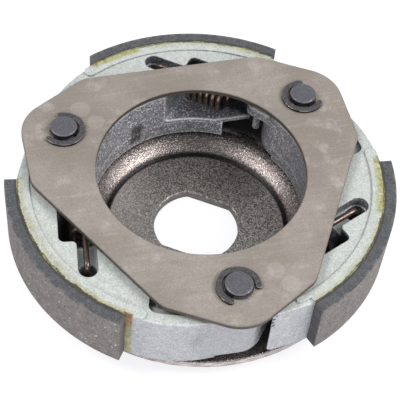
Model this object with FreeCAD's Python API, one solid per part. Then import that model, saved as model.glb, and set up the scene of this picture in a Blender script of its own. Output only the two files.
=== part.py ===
import FreeCAD, Part
import math
import os

os.makedirs("parts", exist_ok=True)

# Centrifugal clutch for a belt-drive scooter, three shoes, millimetres.
# The clutch axis is Z. Z = 0 is the back face of the dished hub, which seats on the driven pulley.
# Each shoe is drawn in its own place at the top, with its pivot at 150 degrees, and then turned by 120.

V = FreeCAD.Vector
Z = V(0, 0, 1)

# layout
SHOES = 3
PITCH = 360.0 / SHOES
pivot_circle_r = 49.0
pivot_angle = 150.0
slip = 0.05            # radial running clearance of a shoe on its pin
seat = 0.1             # clearance of a hole round a pin that doesn't turn in it
air = 0.3              # clearance between faces that pass each other

# drive plate, pressed from one sheet
sheet = 3.0
hub_hole_r = 15.0
hub_flat = 12.7        # axis to each of the two flats
hub_flat_angle = 56.0
hub_chamfer = 0.4
rim_in = 0.94          # rim, inside the lining's seat
rim_edge = 0.6         # rounded upper edge of the rim
dish = 4.9             # height of the flange's back over the hub's back
bead_rise = 1.9        # crest of the ring bead over the flange
bead_top_r = 4.0       # rounding over the crest, upper skin
dish_slope = 55.0
bead_slope = 40.0
bead_foot_r = 1.5
foot_r = 2.0           # rounding at the inner foot, upper skin

# levels
flange_z = dish + sheet
bead_z = flange_z + bead_rise
shoe_z = flange_z + 2.7
shoe_h = 20.8
land_z = shoe_z + shoe_h
rim_step = 0.6
rim_z = land_z + rim_step
side_gap = 0.74
side_t = 2.0
side_z = rim_z + side_gap
side_top = side_z + side_t

# side plate
window_r = 35.4
lobe_r = 14.3          # plate edge round each pin
lobe_half = 30.0       # the lobe's round covers this each way of the outward line
flank = 47.2           # axis to each long straight edge
bend_r = 9.0
side_edge = 0.25

# pivot pins
pin_r = 5.2            # where the shoe turns
neck_r = 4.6           # through the side plate and up to the top
shank_r = 4.0          # riveted through the flange
collar_r = 6.1
head_r = 5.9
head_t = 1.7
pin_above = 2.46
pin_edge = 0.5
groove = 0.9

# retaining rings
ring_r = 7.4
ring_t = 1.0
ring_web = 2.0
ring_open = 100.0
ring_turn = (1.0, 21.0, -7.0)

# shoes
arc_off = 1.75         # centre of the lining's arc, from the clutch axis towards the shoe
lining_out = 64.34
lining_t = 4.0
bond = 0.1             # adhesive between lining and shoe
body_r = lining_out - lining_t - bond
lining_from = 50.9
lining_to = 114.8
inner_r = 36.8
ledge = 0.6            # the upper part of the inner wall stands proud of the lower
ledge_z = shoe_z + 6.3
boss_r = 12.4
boss_edge = 3.0
hub_top_r = 9.2
hub_top_z = side_z - air
shoulder_angle = 118.4
nose_r = 9.7           # outer end of the boss, round the pin
nose_lift = 1.0        # its underside over the shoe's
nose_turn = 55.0       # from its tangent face at the wall round to the one on the hub side
foot_r_pin = 7.4       # bearing foot that reaches down to the collar
shoulder_in = 1.14     # the shoulder's far end, inside the lining's seat
shoulder_end_angle = 140.5
shoulder_r = 42.0
outer_edge = 0.6       # rounded upper edge of the outer face
tip_gap = 1.1          # free end to the next shoe's boss
tip_from = 50.0        # the free end's outer face turns in from here
tip_to = 38.5
tip_in = 1.27
tip_r = 150.0
tip_corner = 1.5       # rounded lower corner of the free end
rim_band = 4.1
band_from = 47.3
band_to = 118.9
band_step = 1.9        # the band is narrower past the lining's end
wall_end = 16.6        # where the lower part of the inner wall stops, across from the clutch axis
wall_back = 3.6        # depth of the hollow behind that end

# spring channel of a shoe, laid out along the spring from the round end of its slot
hook_in = 6.34                 # slot's round end, inside the lining's seat
hook_angle = 95.0
spring_angle = -37.0
wire_r = 1.0
coil_r = 4.2                   # mean radius
coil_from = 14.6
coil_turns = 5
coil_pitch = 2.3
ease = 3.0                     # wire between a leg and the coil
bend_leg = 2.0
hook_drop = 7.0
hook_hole_r = 2.85
hook_hole_run = 1.5
slot_r = 3.2
slot_depth = 4.1
leg_z = land_z - 1.1
coil_z = leg_z - coil_r
slot_z = land_z - slot_depth
shelf_z = ledge_z + 1.7
shelf_end = 27.2
shelf_step = 3.3               # the shelf's straight edge, inside the inner wall
shelf_back = 11.6
pocket_from = 11.0
pocket_side = 8.9              # outer wall of the pocket, beside the spring's line
pocket_run = 48.0
pocket_corner = 2.0
pocket_foot = 1.5
mouth_r = 1.5                  # rounding where the slot runs into the pocket

# finger beyond the pivot, which the neighbour's spring pulls on
finger_in = 37.3
finger_w = 6.0
finger_to = 167.1
finger_t = 3.5
finger_top = leg_z - wire_r - seat
finger_z = finger_top - finger_t
finger_edge = 0.6
lug_r = 1.3            # short round lug under the finger
lug_in = 1.6           # its middle, inside the finger's middle line
lug_angle = 164.6
finger_hole_r = wire_r + 0.7
tail_in = 0.1                  # the hole, inside the finger's middle line
tail_angle = 168.7

# scooped top beside the boss
scoop_rim = 4.0        # land left between the relief and the outer face
scoop_in = 41.5
scoop_from = 119.8
scoop_lean = 131.0     # direction of its straight end face
scoop_corner = 3.0
scoop_step = 1.7       # drop along the outer rim
scoop_fall = 0.9       # the floor falls this much more over its width
scoop_floor = 6.0
scoop_depth = 5.5

# rubber dampers on studs of the drive plate
stud_in = 6.44         # stud, inside the lining's seat
stud_angle = 52.2
stud_r = 2.5
stud_head = 1.4        # head behind the plate, round the stud and in height
damper_r = 4.5
damper_z = flange_z + seat
damper_h = 8.6


def polar(r, degrees, z=0.0):
    a = math.radians(degrees)
    return V(r * math.cos(a), r * math.sin(a), z)


slope_out = math.radians(bead_slope)
bead_half = bead_top_r * math.sin(slope_out) + bead_foot_r * math.tan(slope_out / 2.0)
bead_half += (bead_rise - bead_top_r * (1 - math.cos(slope_out))) / math.tan(slope_out)
bead_r = min(pivot_circle_r - collar_r, body_r - stud_in - damper_r - air) - bead_half
rim_r = body_r - rim_in
pivot = polar(pivot_circle_r, pivot_angle)
next_pivot = polar(pivot_circle_r, pivot_angle - PITCH)
arc_centre = V(0, arc_off, 0)
hook = polar(body_r - hook_in, hook_angle)
tail = polar(finger_in + finger_w / 2.0 - tail_in, tail_angle)
stud_at = polar(body_r - stud_in, stud_angle)


def disc(r, z0, z1, at=V(0, 0, 0)):
    return Part.makeCylinder(r, z1 - z0, V(at.x, at.y, z0), Z)


def tube(r_in, r_out, z0, z1, at=V(0, 0, 0)):
    return disc(r_out, z0, z1, at).cut(disc(r_in, z0, z1, at))


def prism(points, z0, z1):
    """An upright block over a straight-sided outline."""
    ring = [V(p.x, p.y, z0) for p in points]
    return Part.Face(Part.makePolygon(ring + [ring[0]])).extrude(V(0, 0, z1 - z0))


def wedge(a0, a1, z0, z1, reach=120.0, at=V(0, 0, 0)):
    """A sector block with its point at the given place."""
    steps = 1 + int((a1 - a0) / 60.0)
    turn = (a1 - a0) / steps
    points = [at] + [at + polar(reach, a0 + i * turn) for i in range(steps + 1)]
    return prism(points, z0, z1)


def rounded_outline(corners):
    """A closed outline of straight edges; each corner is a point and its rounding radius."""
    n = len(corners)
    trimmed = []
    for i in range(n):
        p, r = corners[i]
        before = (corners[i - 1][0] - p).normalize()
        after = (corners[(i + 1) % n][0] - p).normalize()
        if r <= 0:
            trimmed.append((p, p, p))
            continue
        half = before.getAngle(after) / 2.0
        back = r / math.tan(half)
        middle = p + (before + after).normalize() * (r / math.sin(half) - r)
        trimmed.append((p + before * back, middle, p + after * back))
    edges = []
    for i in range(n):
        start, middle, end = trimmed[i]
        if start.distanceToPoint(end) > 1e-6:
            edges.append(Part.Arc(start, middle, end).toShape())
        following = trimmed[(i + 1) % n][0]
        if end.distanceToPoint(following) > 1e-6:
            edges.append(Part.makeLine(end, following))
    return Part.Wire(edges)


def turned(corners, at=V(0, 0, 0)):
    """A solid of revolution about an upright line; corners are (radius, height, rounding)."""
    outline = rounded_outline([(V(r, 0, z), round_r) for r, z, round_r in corners])
    solid = Part.Face(outline).revolve(V(0, 0, 0), Z, 360)
    solid.translate(V(at.x, at.y, 0))
    return solid


def centre_through(p, q, r):
    """Centre of the arc of radius r through p and q that lies on the clutch axis' side."""
    mid = (p + q) * 0.5
    along = (q - p).normalize()
    side = V(-along.y, along.x, 0)
    if side.dot(mid) > 0:
        side = side * -1
    return mid + side * math.sqrt(r * r - (p.distanceToPoint(q) / 2.0) ** 2)


def placed(shape, k):
    copy = shape.copy()
    copy.rotate(V(0, 0, 0), Z, PITCH * k)
    return copy


def save(name, shape):
    shape = shape.removeSplitter()
    solids = shape.Solids
    if len(solids) == 1:
        shape = solids[0]
    shape.exportStep("parts/" + name + ".step")


# drive plate

def dish_skin(r_crest, r_foot, r_outer, lift):
    """One skin of the pressing as (radius, height, rounding) corners, from the hub out to the bead's foot."""
    centre_z = bead_z - bead_top_r
    corners = []
    for slope, side in ((dish_slope, -1), (bead_slope, 1)):
        a = math.radians(slope)
        touch_r = bead_r + side * r_crest * math.sin(a)
        touch_z = centre_z + r_crest * math.cos(a)
        base_z = lift if side < 0 else dish + lift
        foot = touch_r + side * (touch_z - base_z) / math.tan(a)
        corners.append((foot, base_z, math.tan(a)))
    inner, outer = corners
    # the two slopes meet above the crest, which is then rounded over
    peak_r = (outer[0] * outer[2] + inner[0] * inner[2] + outer[1] - inner[1]) / (inner[2] + outer[2])
    peak_z = inner[1] + (peak_r - inner[0]) * inner[2]
    return [(inner[0], inner[1], r_foot), (peak_r, peak_z, r_crest), (outer[0], outer[1], r_outer)]


def drive_plate():
    top = dish_skin(bead_top_r, foot_r, bead_foot_r, sheet)
    under = dish_skin(bead_top_r - sheet, foot_r + sheet, bead_foot_r + sheet, 0.0)
    core = hub_flat * 0.6
    corners = [(core, 0, 0)] + under + [(rim_r, dish, 0.3), (rim_r, flange_z, rim_edge)]
    corners += list(reversed(top)) + [(core, sheet, 0)]
    plate = turned(corners)
    plate = plate.cut(hub_opening(0.0, -1.0, sheet + 1.0))
    chamfer = hub_opening(0.0, sheet - hub_chamfer, sheet - hub_chamfer + 0.01)
    upper = hub_opening(hub_chamfer + 0.2, sheet + 0.2, sheet + 0.21)
    loft = Part.makeLoft([outline_of(chamfer), outline_of(upper)], True, True)
    plate = plate.cut(loft)
    for k in range(SHOES):
        plate = plate.cut(placed(disc(shank_r, 0, bead_z, pivot), k))
        plate = plate.cut(placed(disc(stud_r, 0, bead_z, stud_at), k))
    return plate


def hub_opening(grow, z0, z1):
    """The round hub hole with its two flats, as a plug."""
    r = hub_hole_r + grow
    flat = hub_flat + grow
    bar = Part.makeBox(2 * flat, 4 * r, z1 - z0, V(-flat, -2 * r, z0))
    bar.rotate(V(0, 0, 0), Z, hub_flat_angle)
    return disc(r, z0, z1).common(bar)


def outline_of(plug):
    """The lowest face's outline."""
    faces = sorted(plug.Faces, key=lambda f: f.CenterOfMass.z)
    return faces[0].OuterWire


# side plate

def side_plate():
    corners = []
    for k in range(SHOES):
        out = pivot_angle + PITCH * k
        pin = polar(pivot_circle_r, out)
        # the lobe's round is drawn as one rounded corner where its two tangents meet
        tip = pin + polar(lobe_r / math.cos(math.radians(lobe_half)), out)
        before = meet(pin, out - lobe_half, out - PITCH / 2.0)
        after = meet(pin, out + lobe_half, out + PITCH / 2.0)
        corners += [(before, bend_r), (tip, lobe_r), (after, bend_r)]
    plate = Part.Face(rounded_outline(corners)).extrude(V(0, 0, side_t))
    plate.translate(V(0, 0, side_z))
    plate = plate.cut(disc(window_r, side_z - 1, side_top + 1))
    rims = [e for e in plate.Edges if abs(e.BoundBox.ZMax - e.BoundBox.ZMin) < 1e-6]
    plate = plate.makeChamfer(side_edge, rims)
    for k in range(SHOES):
        plate = plate.cut(placed(disc(neck_r + seat, side_z - 1, side_top + 1, pivot), k))
    return plate


def meet(pin, lobe_normal, flank_normal):
    """Where a lobe's tangent edge meets the long straight edge."""
    a = polar(1.0, lobe_normal)
    b = polar(1.0, flank_normal)
    d1 = a.dot(pin) + lobe_r
    d2 = flank
    det = a.x * b.y - a.y * b.x
    return V((d1 * b.y - d2 * a.y) / det, (a.x * d2 - b.x * d1) / det, 0)


# pins and rings

def pivot_pin():
    groove_r = neck_r - groove
    top = side_top + pin_above
    corners = [
        (0, dish - head_t, 0),
        (head_r, dish - head_t, 0.8),
        (head_r, dish, 0),
        (shank_r, dish, 0),
        (shank_r, flange_z, 0),
        (collar_r, flange_z, 0),
        (collar_r, shoe_z - 0.2, 0.3),
        (pin_r, shoe_z - 0.2, 0),
        (pin_r, side_z, 0),
        (neck_r, side_z, 0),
        (neck_r, side_top - seat / 2, 0),
        (groove_r, side_top - seat / 2, 0),
        (groove_r, side_top + ring_t + seat, 0),
        (neck_r, side_top + ring_t + seat, 0),
        (neck_r, top, pin_edge),
        (0, top, 0),
    ]
    return turned(corners, pivot)


def retaining_ring(turn):
    """An E ring: an open band with three tongues that reach into the pin's groove."""
    z0 = side_top
    z1 = side_top + ring_t
    reach = neck_r - groove + slip
    band = tube(ring_r - ring_web, ring_r, z0, z1, pivot)
    opening = pivot_angle + turn
    tongue_w = 2.6
    for a in (180.0, 180.0 - 98.0, 180.0 + 98.0):
        arm = Part.makeBox(ring_r - ring_web / 2, tongue_w, ring_t, V(0, -tongue_w / 2, z0))
        arm.rotate(V(0, 0, 0), Z, opening + a)
        arm.translate(V(pivot.x, pivot.y, 0))
        band = band.fuse(arm)
    half = ring_open / 2.0
    tip = ring_web / 2.0
    half += math.degrees(tip / (ring_r - tip))
    band = band.cut(wedge(opening - half, opening + half, z0, z1, 20.0, pivot))
    for a in (opening - half, opening + half):
        band = band.fuse(disc(tip, z0, z1, pivot + polar(ring_r - tip, a)))
    return band.cut(disc(reach, z0, z1, pivot))


# shoes

def shoe_layer(z0, z1, r_in, edge=0.0):
    """The shoe's plan between two levels: turned-in free end, lining arc, tighter shoulder arc."""

    def rimmed(r, centre):
        return turned([(0, z0, 0), (r, z0, 0), (r, z1, edge), (0, z1, 0)], centre)

    main = rimmed(body_r, arc_centre).common(rimmed(tip_r, tip_centre()))
    main = main.common(wedge(pivot_angle - PITCH, shoulder_angle, z0, z1))
    shoulder = rimmed(shoulder_r, shoulder_centre()).common(wedge(shoulder_angle, pivot_angle, z0, z1))
    return main.fuse(shoulder).cut(disc(r_in, z0, z1))


def on_circle(centre, r, degrees):
    """Where the ray from the clutch axis leaves the circle."""
    ray = polar(1.0, degrees)
    along = ray.dot(centre)
    off = centre.sub(ray * along).Length
    return ray * (along + math.sqrt(max(r * r - off * off, 0.0)))


def shoulder_end():
    return polar(body_r - shoulder_in, shoulder_end_angle)


def shoulder_centre():
    return centre_through(on_circle(arc_centre, body_r, shoulder_angle), shoulder_end(), shoulder_r)


def tip_centre():
    """Centre of the nearly flat outer face of the free end."""
    near = arc_centre + polar(body_r, tip_from)
    tip = arc_centre + polar(body_r - tip_in, tip_to)
    return centre_through(near, tip, tip_r)


def nose_face():
    """Direction from the pin in which the shoulder's wall meets the nose's round, tangent to it."""
    out = shoulder_end() - pivot
    open_angle = math.acos(min(1.0, nose_r / out.Length))
    return math.degrees(math.atan2(out.y, out.x) + open_angle)


def boss():
    """The boss round the pin: thick and rounded below on the hub side, a slimmer nose outside."""
    corners = [
        (0, shoe_z, 0),
        (boss_r, shoe_z, boss_edge),
        (boss_r, land_z, 0),
        (hub_top_r, land_z, 0),
        (hub_top_r, hub_top_z, 0.4),
        (0, hub_top_z, 0),
    ]
    whole = turned(corners, pivot)
    z0 = shoe_z + nose_lift
    face = nose_face()
    touch = pivot + polar(nose_r, face)
    wall = prism([pivot, shoulder_end(), touch], z0, land_z)
    nose = turned([(0, z0, 0), (nose_r, z0, 0.8), (nose_r, land_z, 0), (0, land_z, 0)], pivot)
    return whole.cut(beyond_nose(face, shoe_z - 1, land_z + 1)).fuse(wall).fuse(nose)


def beyond_nose(face, z0, z1):
    """Everything outside the nose's round and its two tangent faces, and under its raised underside."""
    reach = 2 * boss_r
    last = face + nose_turn
    ring = tube(nose_r, reach, z0, z1, pivot).common(wedge(face, last, z0, z1, 2 * reach, pivot))
    hub_side = pivot + polar(nose_r, last)
    for a, end in ((face, shoulder_end()), (last, hub_side + polar(reach, last + 90.0))):
        touch = pivot + polar(nose_r, a)
        out = polar(reach, a)
        ring = ring.fuse(prism([touch, touch + out, end + out, end], z0, z1))
    under = tube(foot_r_pin, reach, z0, shoe_z + nose_lift, pivot)
    return ring.fuse(under.common(wedge(face - 40.0, last + 20.0, z0, z1, 2 * reach, pivot)))


def rim_land():
    """The low band along the lining, with round ends; past the lining's end it is narrower."""
    z0 = land_z - rim_step
    r_in = body_r - rim_band
    band = tube(r_in, body_r, z0, rim_z, arc_centre)
    band = band.common(wedge(lining_from, band_to, z0, rim_z, 120.0, arc_centre))
    slim = tube(r_in, body_r - band_step, z0, rim_z, arc_centre)
    slim = slim.common(wedge(band_from, lining_from, z0, rim_z, 120.0, arc_centre))
    band = band.fuse(slim)
    for a, width in ((band_from, rim_band - band_step), (band_to, rim_band)):
        band = band.fuse(disc(width / 2.0, z0, rim_z, arc_centre + polar(r_in + width / 2.0, a)))
    return band


def finger():
    mid = finger_in + finger_w / 2.0
    bar = tube(finger_in, finger_in + finger_w, finger_z, finger_top)
    bar = bar.common(wedge(pivot_angle - 5.0, finger_to, finger_z, finger_top))
    end = disc(finger_w / 2.0, finger_z, finger_top, polar(mid, finger_to))
    bar = bar.fuse(end).removeSplitter()
    rims = [e for e in bar.Edges if e.BoundBox.ZMin > finger_top - 1e-6 and isinstance(e.Curve, Part.Circle)]
    bar = bar.makeFillet(finger_edge, rims)
    lug = polar(mid - lug_in, lug_angle)
    lug_z = shelf_z + air + 0.4
    return bar.fuse(turned([(0, lug_z, 0), (lug_r, lug_z, 0.4), (lug_r, finger_z + 1, 0), (0, finger_z + 1, 0)], lug))


def along_spring(distance, side=0.0):
    """A point of the plan beside the spring's line, measured from its hook."""
    a = math.radians(spring_angle)
    return hook + V(math.cos(a), math.sin(a), 0) * distance + V(-math.sin(a), math.cos(a), 0) * side


def spring_pocket():
    """The well that holds the coil: open to the top and to the hub side, rounded at its foot."""
    outline = [
        (along_spring(pocket_from, -inner_r), 0),
        (along_spring(pocket_run, -inner_r), 0),
        (along_spring(pocket_run, pocket_side), 0),
        (along_spring(pocket_from, pocket_side), pocket_corner),
    ]
    well = Part.Face(rounded_outline(outline)).extrude(V(0, 0, land_z + 2 - shelf_z))
    well.translate(V(0, 0, shelf_z))
    return well.makeFillet(pocket_foot, [e for e in well.Edges if e.BoundBox.ZMax < shelf_z + 1e-6])


def spring_slot():
    """The slot for the spring's straight leg: a round end, a flared mouth, and a hole down for the hook."""
    outline = [
        (along_spring(0, slot_r), 0),
        (along_spring(0, -slot_r), 0),
        (along_spring(pocket_from, -slot_r), mouth_r / 2.0),
        (along_spring(pocket_from, -slot_r - 3 * mouth_r), 0),
        (along_spring(pocket_from + 2 * mouth_r, -slot_r - 3 * mouth_r), 0),
        (along_spring(pocket_from + 2 * mouth_r, slot_r + 2 * mouth_r), 0),
        (along_spring(pocket_from, slot_r + 2 * mouth_r), 0),
        (along_spring(pocket_from, slot_r), mouth_r),
    ]
    slot = Part.Face(rounded_outline(outline)).extrude(V(0, 0, land_z + 1 - slot_z))
    slot.translate(V(0, 0, slot_z))
    slot = slot.fuse(disc(slot_r, slot_z, land_z + 1, hook))
    hole = Part.makeBox(hook_hole_run, 2 * hook_hole_r, land_z - shoe_z + 1, V(0, -hook_hole_r, shoe_z - 1))
    hole.rotate(V(0, 0, 0), Z, spring_angle)
    hole.translate(hook)
    for distance in (0, hook_hole_run):
        hole = hole.fuse(disc(hook_hole_r, shoe_z - 1, land_z, along_spring(distance)))
    return slot.fuse(hole)


def scoop():
    """Relief in the top beside the boss: a step along the outer rim, then a floor that falls inwards."""
    centre = shoulder_centre()
    edge_r = shoulder_r - scoop_rim
    top = land_z + 3
    floor = land_z - scoop_step
    bottom = land_z - scoop_depth
    corners = [
        (edge_r, top, 0),
        (edge_r, floor, 0),
        (edge_r - scoop_floor, floor - scoop_fall, 2.0),
        (edge_r - 1.5 * scoop_floor, bottom, 1.5),
        (edge_r - 3 * scoop_floor, bottom, 0),
        (edge_r - 3 * scoop_floor, top, 0),
    ]
    ring = turned(corners, centre)
    corner = on_circle(centre, edge_r, scoop_from)
    inwards = polar(5 * scoop_floor, scoop_lean + 180.0)
    out = corner - centre
    onwards = V(-out.y, out.x, 0).normalize() * (8 * scoop_floor)
    outline = rounded_outline([
        (corner, scoop_corner), (corner + inwards, 0), (corner + inwards + onwards, 0), (corner + onwards, 0),
    ])
    plan = Part.Face(outline).extrude(V(0, 0, top - bottom + 2))
    plan.translate(V(0, 0, bottom - 1))
    ring = ring.common(plan).common(wedge(scoop_from - 20.0, pivot_angle, bottom - 1, top + 1))
    return ring.cut(disc(scoop_in, bottom - 1, top + 1)).cut(disc(hub_top_r, bottom - 1, top + 1, pivot))


def damper_slot():
    """Slot under the free end for the rubber damper; it opens inwards, so the shoe can swing out."""
    centre = stud_at
    r = damper_r + air
    top = damper_z + damper_h + 0.8
    arm = centre - pivot
    inward = V(arm.y, -arm.x, 0).normalize()
    angle = math.degrees(math.atan2(inward.y, inward.x))
    bar = Part.makeBox(4 * r, 2 * r, top - shoe_z + 1, V(0, -r, shoe_z - 1))
    bar.rotate(V(0, 0, 0), Z, angle)
    bar.translate(centre)
    return bar.fuse(disc(r, shoe_z - 1, top, centre))


def free_end_cuts():
    """What is left away at the free end: round the next boss, below the shelf and beyond it."""
    gap_r = boss_r + tip_gap
    side = 3 * tip_corner
    ring = turned([
        (0, shoe_z - 1, 0),
        (gap_r + side, shoe_z - 1, 0),
        (gap_r + side, shoe_z, 0),
        (gap_r, shoe_z, tip_corner),
        (gap_r, rim_z + 1, 0),
        (0, rim_z + 1, 0),
    ], next_pivot)
    shelf_edge = inner_r - shelf_step
    wall_y = math.sqrt(max(inner_r ** 2 - wall_end ** 2, 1.0)) - 0.8
    hollow = [
        V(wall_end, wall_y, 0),
        V(wall_end + 2.9, inner_r + wall_back, 0),
        V(shelf_end + 3.8, inner_r + wall_back, 0),
        V(shelf_end + 17.8, inner_r - 2 * wall_back, 0),
        V(shelf_end + 12.8, inner_r * 0.27, 0),
        V(wall_end, inner_r * 0.54, 0),
    ]
    low = prism(hollow, shoe_z - 1, ledge_z)
    end = [
        V(shelf_end, inner_r * 0.4, 0),
        V(shelf_end, inner_r + wall_back - 0.6, 0),
        polar(inner_r + shelf_back, 49.3),
        polar(inner_r + shelf_back + 2.5, 45.2),
        V(shelf_end + 17.8, inner_r * 0.54, 0),
    ]
    beyond = prism(end, ledge_z, shelf_z)
    turn_x = math.sqrt(max((inner_r - ledge) ** 2 - shelf_edge ** 2, 1.0))
    edge = prism(
        [V(turn_x, shelf_edge, 0), V(shelf_end, shelf_edge, 0), V(shelf_end, inner_r * 0.4, 0),
         V(turn_x, inner_r * 0.4, 0)],
        ledge_z,
        shelf_z,
    )
    return [ring, low, beyond, edge]


def shoe():
    body = shoe_layer(shoe_z, ledge_z, inner_r).fuse(shoe_layer(ledge_z, land_z, inner_r - ledge, outer_edge))
    body = body.cut(beyond_nose(nose_face(), shoe_z - 1, land_z + 1)).fuse(boss()).fuse(rim_land())
    body = body.cut(scoop())
    for piece in free_end_cuts():
        body = body.cut(piece)
    body = body.cut(spring_pocket()).cut(spring_slot()).cut(damper_slot())
    body = body.fuse(finger())
    body = body.cut(disc(finger_hole_r, finger_z - 1, finger_top + 1, tail))
    body = body.cut(disc(pin_r + slip, shoe_z - 1, hub_top_z + 1, pivot))
    return max(body.Solids, key=lambda s: s.Volume)


def lining():
    band = tube(lining_out - lining_t, lining_out, shoe_z, rim_z, arc_centre)
    return band.common(wedge(lining_from, lining_to, shoe_z, rim_z, 120.0, arc_centre))


# springs

def spring():
    """Extension spring: a hook down into the shoe, a leg, the coil, a leg, a hook into the next finger."""
    near = along_spring(hook_hole_run - 0.3, 0.3)
    far = FreeCAD.Rotation(Z, -PITCH).multVec(tail)
    run = far - near
    length = run.Length
    coil_len = (coil_turns + 0.5) * coil_pitch
    coil_to = coil_from + coil_len
    # drawn along X from the hook: the coil starts and ends at mid height and eases up to the legs
    helix = Part.makeHelix(coil_pitch, coil_len, coil_r)
    helix.Placement = FreeCAD.Placement(
        FreeCAD.Matrix(0, 0, 1, coil_from, -1, 0, 0, 0, 0, -1, 0, coil_z, 0, 0, 0, 1)
    )
    slope = coil_pitch / (2 * math.pi * coil_r)
    ease_in = eased(V(coil_from - ease, 0, leg_z), V(1, 0, 0), V(coil_from, -coil_r, coil_z), V(slope, 0, -1))
    ease_out = eased(V(coil_to, coil_r, coil_z), V(slope, 0, 1), V(coil_to + ease, 0, leg_z), V(1, 0, 0))
    start = V(0, 0, leg_z - hook_drop)
    left = hooked(start, V(0, 0, leg_z - bend_leg), V(bend_leg, 0, leg_z), V(coil_from - ease, 0, leg_z))
    right = hooked(
        V(coil_to + ease, 0, leg_z), V(length - bend_leg, 0, leg_z), V(length, 0, leg_z - bend_leg),
        V(length, 0, finger_z - 0.8),
    )
    wire = Part.Wire(left + [ease_in] + helix.Edges + [ease_out] + right)
    section = Part.Wire(Part.makeCircle(wire_r, start, Z))
    body = wire.makePipeShell([section], True, False)
    body.rotate(V(0, 0, 0), Z, math.degrees(math.atan2(run.y, run.x)))
    body.translate(near)
    return body


def eased(start, leaving, end, arriving):
    """A smooth run of wire between two points with given directions."""
    curve = Part.BSplineCurve()
    curve.interpolate(Points=[start, end], InitialTangent=leaving * 5, FinalTangent=arriving * 5)
    return curve.toShape()


def hooked(a, b, c, d):
    """A straight run from a to b, a quarter bend to c and a straight run to d."""
    way_in = (b - a).normalize()
    way_out = (d - c).normalize()
    centre = b + way_out * bend_leg
    middle = centre + (way_in - way_out) * (bend_leg / math.sqrt(2))
    return [Part.makeLine(a, b), Part.Arc(b, middle, c).toShape(), Part.makeLine(c, d)]


# dampers

def damper_stud():
    top = damper_z + damper_h + seat
    corners = [
        (0, dish - stud_head, 0),
        (stud_r + stud_head, dish - stud_head, 0.5),
        (stud_r + stud_head, dish, 0),
        (stud_r, dish, 0),
        (stud_r, top, 0.4),
        (0, top, 0),
    ]
    return turned(corners, stud_at)


def damper():
    corners = [
        (stud_r + seat, damper_z, 0),
        (damper_r, damper_z, 0.6),
        (damper_r, damper_z + damper_h, 0.6),
        (stud_r + seat, damper_z + damper_h, 0),
    ]
    return turned(corners, stud_at)


save("drive_plate", drive_plate())
save("side_plate", side_plate())
parts = {
    "shoe": shoe(),
    "lining": lining(),
    "spring": spring(),
    "pivot_pin": pivot_pin(),
    "damper_stud": damper_stud(),
    "damper": damper(),
}
for k in range(SHOES):
    number = "_" + str(k + 1)
    for name in parts:
        save(name + number, placed(parts[name], k))
    save("retaining_ring" + number, placed(retaining_ring(ring_turn[k]), k))
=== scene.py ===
import bpy
import math
import random
from mathutils import Matrix, Vector


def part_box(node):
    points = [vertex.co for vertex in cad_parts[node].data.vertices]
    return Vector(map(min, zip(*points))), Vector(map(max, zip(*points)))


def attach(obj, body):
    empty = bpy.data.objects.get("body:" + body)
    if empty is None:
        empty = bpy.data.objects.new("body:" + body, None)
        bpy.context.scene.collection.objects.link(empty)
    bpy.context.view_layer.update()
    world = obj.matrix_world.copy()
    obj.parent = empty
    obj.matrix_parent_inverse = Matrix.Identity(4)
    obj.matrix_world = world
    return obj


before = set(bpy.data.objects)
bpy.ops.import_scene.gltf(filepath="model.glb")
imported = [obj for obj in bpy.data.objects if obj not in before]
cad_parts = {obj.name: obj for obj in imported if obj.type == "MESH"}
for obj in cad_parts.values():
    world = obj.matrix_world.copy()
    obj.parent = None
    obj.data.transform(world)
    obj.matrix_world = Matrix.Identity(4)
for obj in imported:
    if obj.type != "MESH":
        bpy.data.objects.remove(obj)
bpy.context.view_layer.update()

# sizes shared with the solids, lengths in metres and angles in degrees
MM = 0.001
SHOES = 3
PITCH = 360.0 / SHOES               # from one shoe to the next
HUB_HOLE_R = 15.0 * MM
BEAD_FOOT_R = 31.4 * MM             # inner foot of the drive plate's bead
BEAD_CREST_R = 35.2 * MM
FLANGE_FROM = 42.5 * MM             # the painted shade under the shoes begins here on its flange, outside the bead
RIM_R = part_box("drive_plate")[1].x  # its sheared rim
ARC_OFF = 1.75 * MM                 # centre of the lining's arc, from the clutch axis towards the shoe
BODY_R = 60.24 * MM                 # outer face of a shoe under its lining, about that centre
LINING_IN = 60.34 * MM
LINING_OUT = 64.34 * MM
LINING_FROM = 50.9                  # a shoe's own angles, with the shoe at the top
LINING_TO = 114.8
RIM_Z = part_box("lining_1")[1].z     # top of a shoe's rim band, level with its lining
LAND_Z = RIM_Z - 0.6 * MM           # machined top of a shoe
SHELF_Z = 18.6 * MM                 # the shelf under the spring
SPRING_ANGLE = -37.0
HOOK = (-4.698 * MM, 53.695 * MM)   # round end of a shoe's spring slot, in its own place at the top


def pin_place(k):
    low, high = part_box("pivot_pin_" + str(k + 1))
    return (low.x + high.x) / 2, (low.y + high.y) / 2


# materials

def srgb(r, g, b):
    def one(v):
        v /= 255.0
        return v / 12.92 if v <= 0.04045 else ((v + 0.055) / 1.055) ** 2.4
    return (one(r), one(g), one(b), 1.0)


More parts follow.
